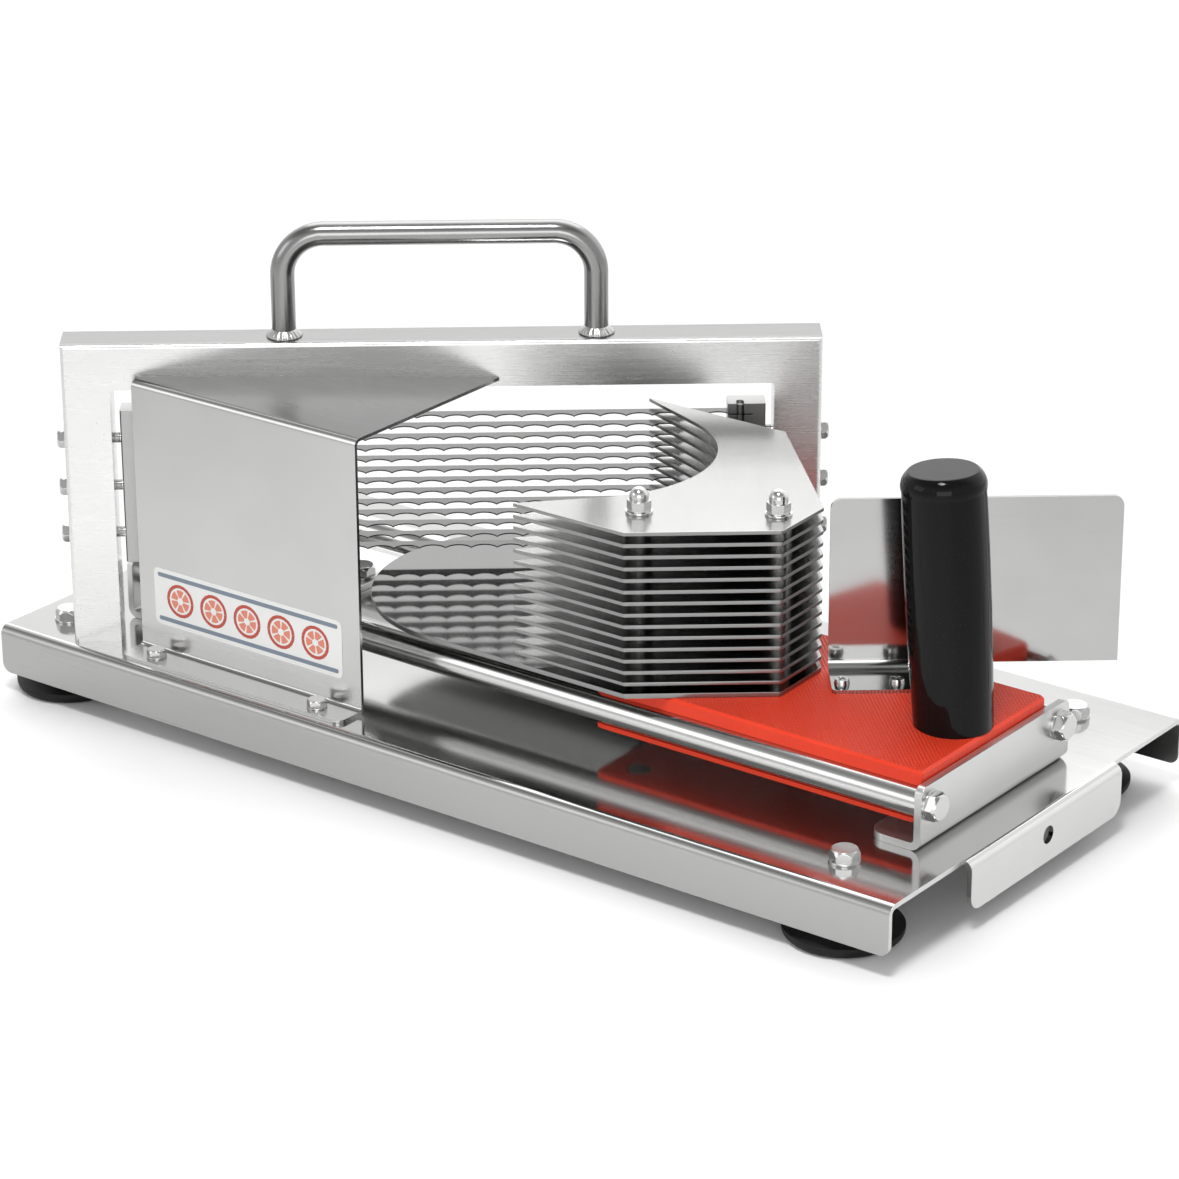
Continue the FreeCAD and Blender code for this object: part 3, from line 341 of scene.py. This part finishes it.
MERGE_DISTANCE = 0.002 * MM             # corners closer than this are one
FLAT_ANGLE = math.radians(0.6)          # facets flatter than this join into one face
BREAK_ANGLE = math.radians(28.0)        # edges sharper than this are broken
SHARP_ANGLE = math.radians(38.0)        # edges sharper than this stay sharp in the shading
EDGE_FACE_AREA = 4e-4                   # square metres; a plate's edge faces are smaller


def link(name, mesh, body):
    """New piece that rides on a body."""
    piece = bpy.data.objects.new(name, mesh)
    bpy.context.scene.collection.objects.link(piece)
    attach(piece, body)
    return piece


def weighted(piece):
    """Keeps broad faces flat and lets only the narrow rounded edges shade smoothly."""
    modifier = piece.modifiers.new("weighted", "WEIGHTED_NORMAL")
    modifier.keep_sharp = True
    modifier.weight = 80


def sharper(edge, angle):
    return len(edge.link_faces) == 2 and edge.calc_face_angle(0) > angle


def finished(node, rounding=0.25, extra=()):
    """Copy of a CAD node with its sharp edges broken, standing for the node.

    rounding is the width of the broken edges in millimetres. extra holds (material, test) pairs:
    faces that meet a test get that material.
    """
    work = bmesh.new()
    work.from_mesh(NODES[node].data)
    bmesh.ops.remove_doubles(work, verts=work.verts, dist=MERGE_DISTANCE)
    bmesh.ops.dissolve_limit(work, angle_limit=FLAT_ANGLE, verts=work.verts, edges=work.edges)
    broken = [edge for edge in work.edges if sharper(edge, BREAK_ANGLE)]
    if rounding > 0 and broken:
        bmesh.ops.bevel(work, geom=broken, offset=rounding * MM, offset_type="OFFSET", segments=2,
                        profile=0.5, affect="EDGES", clamp_overlap=True)
    for face in work.faces:
        face.smooth = True
        for number, (_, test) in enumerate(extra, start=1):
            if test(face):
                face.material_index = number
    for edge in work.edges:
        edge.smooth = not sharper(edge, SHARP_ANGLE)
    mesh = bpy.data.meshes.new(node + "_finished")
    work.to_mesh(mesh)
    work.free()
    mesh.materials.append(OWN_MATERIAL.get(node, MATERIAL_OF[SLOT_OF[node]]))
    for material, _ in extra:
        mesh.materials.append(material)
    piece = link(node + "_finished", mesh, BODY_OF[node])
    weighted(piece)
    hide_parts(node)


def plate_edge(face):
    return abs(face.normal.z) < 0.6 and face.calc_area() < EDGE_FACE_AREA


def scallop_edge(face):
    """The narrow front faces of a blade, which look towards the portal's front; their near black steel is
    painted shade.
    """
    if abs(face.normal.z) > 0.5:
        return False
    return face.normal.x * math.sin(PORTAL_ANGLE) - face.normal.y * math.cos(PORTAL_ANGLE) > 0.2


def long_flange(face):
    return abs(face.normal.y) > 0.7 and face.calc_center_median().x < at(BASE_END, 0, 0).x


# faces of the base that look along x; they take the brighter bracket steel as painted light
def end_lip(face):
    return face.normal.x > 0.7


def roof(face):
    return abs(face.normal.z) > 0.9 and face.calc_center_median().z > at(0, 0, ROOF_LEVEL).z


PLATES = ["pusher_plate_%02d" % number for number in range(1, 15)] + ["tray_plate"]
BLADES = ["blade_%02d" % number for number in range(1, 14)]
FASTENERS = ["foot_bolts", "portal_bolts", "cover_bolts", "tension_screws", "rod_bolts", "bracket_screws",
             "cap_nuts", "guard_screws", "pusher_spacers", "pusher_studs", "grip_stud", "leg_plugs"]
ROUND_PARTS = ["carry_handle", "front_guide_rod", "back_guide_rod", "blade_pins", "push_grip",
               "foot_front_left", "foot_front_right", "foot_back_left", "foot_back_right"]

for plate in PLATES:
    finished(plate, rounding=0.3, extra=((EDGE, plate_edge),))
# the base's long flanges get a darker steel as painted shade, its end faces the brighter bracket steel as
# painted light
finished("base_plate", extra=((FLANGE_SHADE, long_flange), (BRACKET, end_lip)))
# the cover's roof faces get the darker steel as painted shade
finished("blade_cover", extra=((COVER_ROOF_SHADE, roof),))
for folded in ("left_rod_bracket", "right_rod_bracket", "hand_guard"):
    finished(folded)
# the portal's roof faces get the darker steel as painted shade
finished("portal_frame", rounding=0.2, extra=((PORTAL_ROOF_SHADE, roof),))
finished("slide_board", rounding=0.4)
for holder in ("left_blade_holder", "right_blade_holder"):
    finished(holder, rounding=0.1)
for fastener in FASTENERS:
    finished(fastener, rounding=0.12)
for round_part in ROUND_PARTS:
    finished(round_part, rounding=0.0)
for blade in BLADES:
    finished(blade, rounding=0.0, extra=((BLADE_EDGE_SHADE, scallop_edge),))


# ---- threads and welds --------------------------------------------------------------

THREAD_SIDES = 32
THREAD_CORE, THREAD_CREST, THREAD_PITCH = 1.98, 2.16, 0.5
THREAD_END_GAP = 0.1
WELD_SIDES = 144
WELD_PROFILE = ((6.9, 0.02), (7.0, 0.35), (6.7, 0.9), (6.0, 1.6), (5.3, 2.3), (4.9, 2.9), (4.6, 3.1))


def turned_piece(name, profile, place, sides, material, lump=lambda angle, step: 1.0):
    """Surface of revolution that rides on the frame.

    profile is (radius, height) in millimetres, place puts a point (x, y, height) on the object, and
    lump is the radius's factor at an angle and a step of the profile.
    """
    work = bmesh.new()
    rings = []
    for step, (radius, height) in enumerate(profile):
        ring = []
        for side in range(sides):
            angle = 2 * math.pi * side / sides
            reach = radius * lump(angle, step)
            ring.append(work.verts.new(place(reach * math.cos(angle), reach * math.sin(angle), height)))
        rings.append(ring)
    for lower, upper in zip(rings, rings[1:]):
        for side in range(sides):
            after = (side + 1) % sides
            work.faces.new((lower[side], lower[after], upper[after], upper[side]))
    work.faces.new(list(reversed(rings[0])))
    work.faces.new(rings[-1])
    bmesh.ops.recalc_face_normals(work, faces=work.faces)
    for face in work.faces:
        face.smooth = len(face.verts) == 4
    mesh = bpy.data.meshes.new(name)
    work.to_mesh(mesh)
    work.free()
    mesh.materials.append(material)
    link(name, mesh, "frame")


def thread_profile(length):
    """Ridges between a screw's core and its crests, closed flat at both ends."""
    profile = [(THREAD_CORE, 0.0)]
    for turn in range(int(length / THREAD_PITCH)):
        profile.append((THREAD_CREST, (turn + 0.5) * THREAD_PITCH))
        profile.append((THREAD_CORE, (turn + 1) * THREAD_PITCH))
    return profile


def screw_threads():
    """Threads of the tension screws where they cross from the tube to the blade holders, in darker steel as
    painted shade in that gap.
    """
    profile = thread_profile(HOLDER_GAP - 2 * THREAD_END_GAP)
    for side, gap_start in (("left", TUBE), ("right", PORTAL_LENGTH - TUBE - HOLDER_GAP)):
        for number, level in enumerate(SCREW_LEVELS, start=1):
            def place(x, y, height, start=gap_start + THREAD_END_GAP, level=level):
                return on_portal(start + height, TUBE / 2 + x, level + y)
            turned_piece("tension_thread_%s_%d" % (side, number), profile, place, THREAD_SIDES,
                         SHADED_THREAD)


def handle_welds():
    """Lumpy fillet welds around the feet of the carry handle."""
    for number, along in enumerate(HANDLE_LEGS, start=1):
        def lump(angle, step, number=number):
            fade = math.sin(math.pi * min(1.0, (step + 0.5) / (len(WELD_PROFILE) - 1)))
            ripple = abs(math.sin(9 * angle + 0.7 * number)) * 0.075
            return 1.0 + fade * (ripple + 0.02 * math.sin(5 * angle + number) - 0.03)

        def place(x, y, height, along=along):
            return on_portal(along + x, TUBE / 2 + y, PORTAL_TOP + height)
        turned_piece("handle_weld_%d" % number, WELD_PROFILE, place, WELD_SIDES, WELD, lump)


screw_threads()
handle_welds()


# ---- label --------------------------------------------------------------------------

LABEL_LEFT, LABEL_RIGHT = 69.0, 166.0
LABEL_LOW, LABEL_HIGH = 12.5, 36.5
LABEL_CORNER = 2.5
FILM_DEPTHS = (0.0, 0.12)               # back and front of the film, in front of the panel
PRINT_DEPTHS = (0.10, 0.15)             # the same of the print on it
BAND_HEIGHT = 1.8                       # also the margin between a band and the label's edge
BAND_MARGIN = 2.0                       # at a band's ends
BAND_CORNER = 0.8
SLICES = 5
SLICE_START, SLICE_PITCH = 13.5, 17.5   # the first is counted from the label's left edge
SKIN_RADII = (5.6, 7.0)
SKIN_GAP = 0.5                          # degrees between the two halves of a skin
FLESH_RADII = (1.5, 4.7)
CHAMBERS = 6
CHAMBER_ANGLE = 48                      # degrees; the walls take the rest
FIRST_CHAMBER = 6                       # degrees
SLICE_TURN = 9                          # degrees from one slice to the next


def flat_shape(work, outline, depths, index):
    """Thin closed solid over an outline of (x, z) points, between two depths in front of the panel."""
    low, high = depths
    back = [work.verts.new(at(x, PANEL_FRONT - low, z)) for x, z in outline]
    front = [work.verts.new(at(x, PANEL_FRONT - high, z)) for x, z in outline]
    faces = [work.faces.new(front), work.faces.new(list(reversed(back)))]
    for number in range(len(outline)):
        after = (number + 1) % len(outline)
        faces.append(work.faces.new((back[number], back[after], front[after], front[number])))
    for face in faces:
        face.material_index = index


def arc(x, z, radius, start, end, steps):
    """Points of an arc between two angles in degrees."""
    points = []
    for step in range(steps + 1):
        angle = math.radians(start + (end - start) * step / steps)
        points.append((x + radius * math.cos(angle), z + radius * math.sin(angle)))
    return points


def rounded_outline(left, low, right, high, radius):
    """Rectangle with rounded corners."""
    corners = ((right - radius, high - radius, 0), (left + radius, high - radius, 90),
               (left + radius, low + radius, 180), (right - radius, low + radius, 270))
    return [point for x, z, start in corners for point in arc(x, z, radius, start, start + 90, 8)]


def sector(x, z, radii, start, end):
    """Piece of a ring between two angles in degrees."""
    inner, outer = radii
    return arc(x, z, outer, start, end, 10) + arc(x, z, inner, end, start, 10)


def label():
    """Plain sticker with two bands and a row of vegetable slices, and no lettering."""
    film, skin, flesh, band = range(4)
    work = bmesh.new()
    outline = rounded_outline(LABEL_LEFT, LABEL_LOW, LABEL_RIGHT, LABEL_HIGH, LABEL_CORNER)
    flat_shape(work, outline, FILM_DEPTHS, film)
    for band_low in (LABEL_LOW + BAND_HEIGHT, LABEL_HIGH - 2 * BAND_HEIGHT):
        outline = rounded_outline(LABEL_LEFT + BAND_MARGIN, band_low, LABEL_RIGHT - BAND_MARGIN,
                                  band_low + BAND_HEIGHT, BAND_CORNER)
        flat_shape(work, outline, PRINT_DEPTHS, band)
    middle = (LABEL_LOW + LABEL_HIGH) / 2
    for number in range(SLICES):
        centre = LABEL_LEFT + SLICE_START + number * SLICE_PITCH
        for start in (0, 180):
            half = sector(centre, middle, SKIN_RADII, start, start + 180 - SKIN_GAP)
            flat_shape(work, half, PRINT_DEPTHS, skin)
        for chamber in range(CHAMBERS):
            start = chamber * 360 / CHAMBERS + FIRST_CHAMBER + number * SLICE_TURN
            wedge = sector(centre, middle, FLESH_RADII, start, start + CHAMBER_ANGLE)
            flat_shape(work, wedge, PRINT_DEPTHS, flesh)
    bmesh.ops.recalc_face_normals(work, faces=work.faces)
    mesh = bpy.data.meshes.new("cover_label")
    work.to_mesh(mesh)
    work.free()
    for material in (FILM, SKIN, FLESH, BAND):
        mesh.materials.append(material)
    link("cover_label", mesh, "frame")


label()


# ---- floor, world and lights, in metres ---------------------------------------------

FLOOR_HALF = 8.0
FLOOR_DROP = 0.2 * MM                   # keeps the floor clear of the feet's soles
WALLS, CEILING = 0.75, 0.30             # brightness of the room
CEILING_EDGE = (0.45, 0.8)              # heights between which the walls fade into the ceiling
BRIGHT_WALL = 1.42                      # brightness of the wall behind the slicer's left end
BRIGHT_WAY = (-0.250, 0.915, 0.310)     # the way to its middle
BRIGHT_EDGE = (0.20, 0.75)              # how near to that way it starts and is full
SLICER = (0, 0, 0.05)


def make_floor():
    material, n, shader, place = new_material("studio_floor")
    cloud = n.noise(place, 3.0, 2.0)
    n.tree.links.new(n.mix(cloud, (0.87, 0.87, 0.87, 1), (0.89, 0.89, 0.89, 1)), shader.inputs["Base Color"])
    shader.inputs["Roughness"].default_value = 0.6
    work = bmesh.new()
    bmesh.ops.create_grid(work, x_segments=1, y_segments=1, size=FLOOR_HALF)
    mesh = bpy.data.meshes.new("floor")
    work.to_mesh(mesh)
    work.free()
    mesh.materials.append(material)
    floor = bpy.data.objects.new("floor", mesh)
    floor.location = (0, 0, -FLOOR_DROP)
    bpy.context.scene.collection.objects.link(floor)


def fade(n, value, edges, to_low, to_high):
    """Smooth step from one level to another between two edges of a value."""
    node = n.add("ShaderNodeMapRange", interpolation_type="SMOOTHSTEP",
                 inputs={"Value": value, "From Min": edges[0], "From Max": edges[1],
                         "To Min": to_low, "To Max": to_high})
    return node.outputs["Result"]


def make_world():
    """Bright walls all round, brightest behind the slicer's left end, under a dim ceiling."""
    world = bpy.data.worlds.new("studio")
    bpy.context.scene.world = world
    world.use_nodes = True
    world.node_tree.nodes.clear()
    n = Nodes(world.node_tree)
    out = n.add("ShaderNodeOutputWorld")
    direction = n.add("ShaderNodeTexCoord").outputs["Generated"]
    height = n.add("ShaderNodeSeparateXYZ", inputs={0: direction}).outputs[2]
    facing = n.add("ShaderNodeVectorMath", operation="DOT_PRODUCT",
                   inputs={0: direction, 1: BRIGHT_WAY}).outputs["Value"]
    room = fade(n, height, CEILING_EDGE, WALLS, CEILING)
    wall = fade(n, facing, BRIGHT_EDGE, 0.0, 1.0)
    level = n.math("MULTIPLY_ADD", n.math("SUBTRACT", BRIGHT_WALL, room), wall, room)
    colour = n.add("ShaderNodeCombineColor", inputs={0: level, 1: level, 2: level})
    shade = n.add("ShaderNodeBackground", inputs={0: colour.outputs[0], 1: 1.0})
    n.tree.links.new(shade.outputs[0], out.inputs[0])


def make_light(name, kind, place, target, power):
    """Lamp at a place, aimed at a target and unseen by the camera."""
    data = bpy.data.lights.new(name, kind)
    data.energy = power
    light = bpy.data.objects.new(name, data)
    bpy.context.scene.collection.objects.link(light)
    light.visible_camera = False
    light.location = place
    light.rotation_euler = (Vector(target) - Vector(place)).to_track_quat("-Z", "Y").to_euler()
    return data


def spot(name, cone, radius, place, target, power):
    data = make_light(name, "SPOT", place, target, power)
    data.spot_size = math.radians(cone)
    data.spot_blend = 1.0
    data.shadow_soft_size = radius


def softbox(name, size, place, target, power):
    data = make_light(name, "AREA", place, target, power)
    data.shape = "RECTANGLE"
    data.size, data.size_y = size


make_floor()
make_world()
spot("pool", 30, 0.25, place=(0.30, -0.65, 1.75), target=(0.06, -0.16, 0), power=92)
softbox("back", (2.0, 1.6), place=(-0.75, 1.3, 1.5), target=(-0.3, 0.7, 0), power=15)
softbox("front_left", (0.9, 0.7), place=(-1.0, -1.35, 0.75), target=SLICER, power=2.5)
softbox("front", (1.2, 0.8), place=(1.1, -1.5, 0.45), target=SLICER, power=7)

view = bpy.context.scene.view_settings
view.view_transform = "Standard"
view.exposure = 0.0

bpy.context.view_layer.update()
